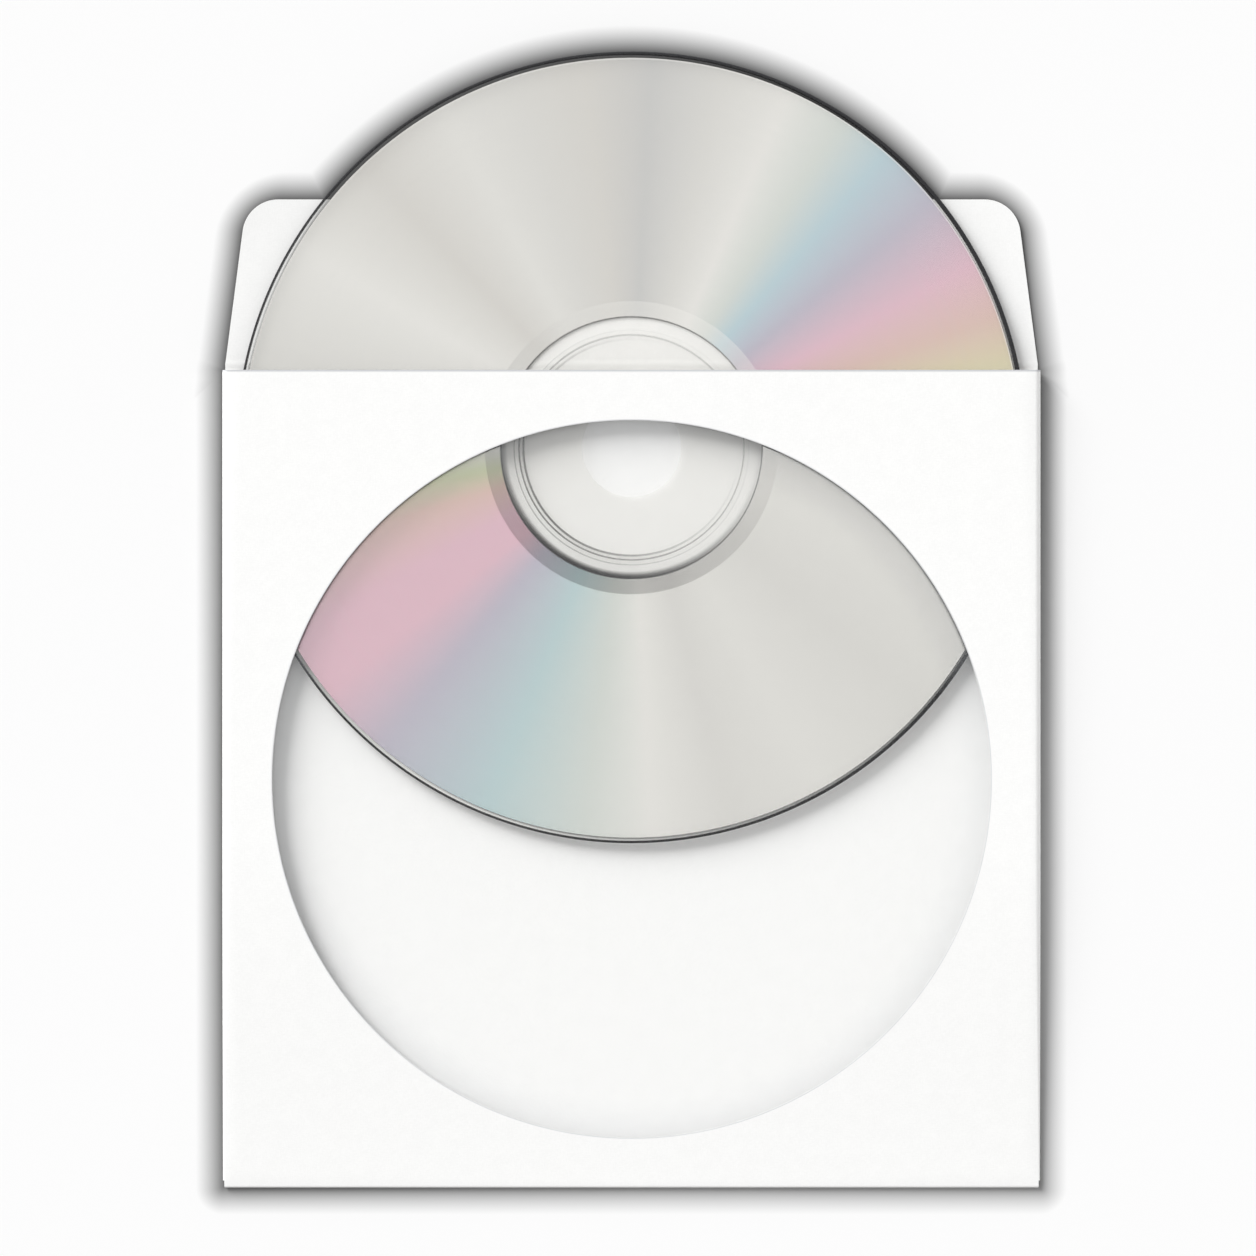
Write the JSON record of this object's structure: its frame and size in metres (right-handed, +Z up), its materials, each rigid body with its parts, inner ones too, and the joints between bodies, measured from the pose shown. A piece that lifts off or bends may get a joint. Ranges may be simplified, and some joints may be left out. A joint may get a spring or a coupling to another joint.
{
  "type": "cd sleeve",
  "caption": "Square white paper sleeve with a round clear-film window and an opened top flap, holding a plain silver disc drawn half way out.",
  "frame": {"origin": "middle of the square body, on the surface that the back panel lies on", "axes": "+X to the sleeve's right seen from the window side, +Y from the bottom fold to the mouth and flap, +Z up out of the window side"},
  "size_m": [0.124, 0.1723, 0.0021],
  "materials": {
    "paper": "uncoated white paper, matt",
    "clear_film": "clear gloss film",
    "polycarbonate": "clear gloss",
    "silver": "bright silver with a faint rainbow sheen"
  },
  "bodies": {
    "root": {"sleeve": "paper", "window_film": "clear_film", "disc": "polycarbonate", "reflective_layer": "silver"}
  },
  "joints": []
}
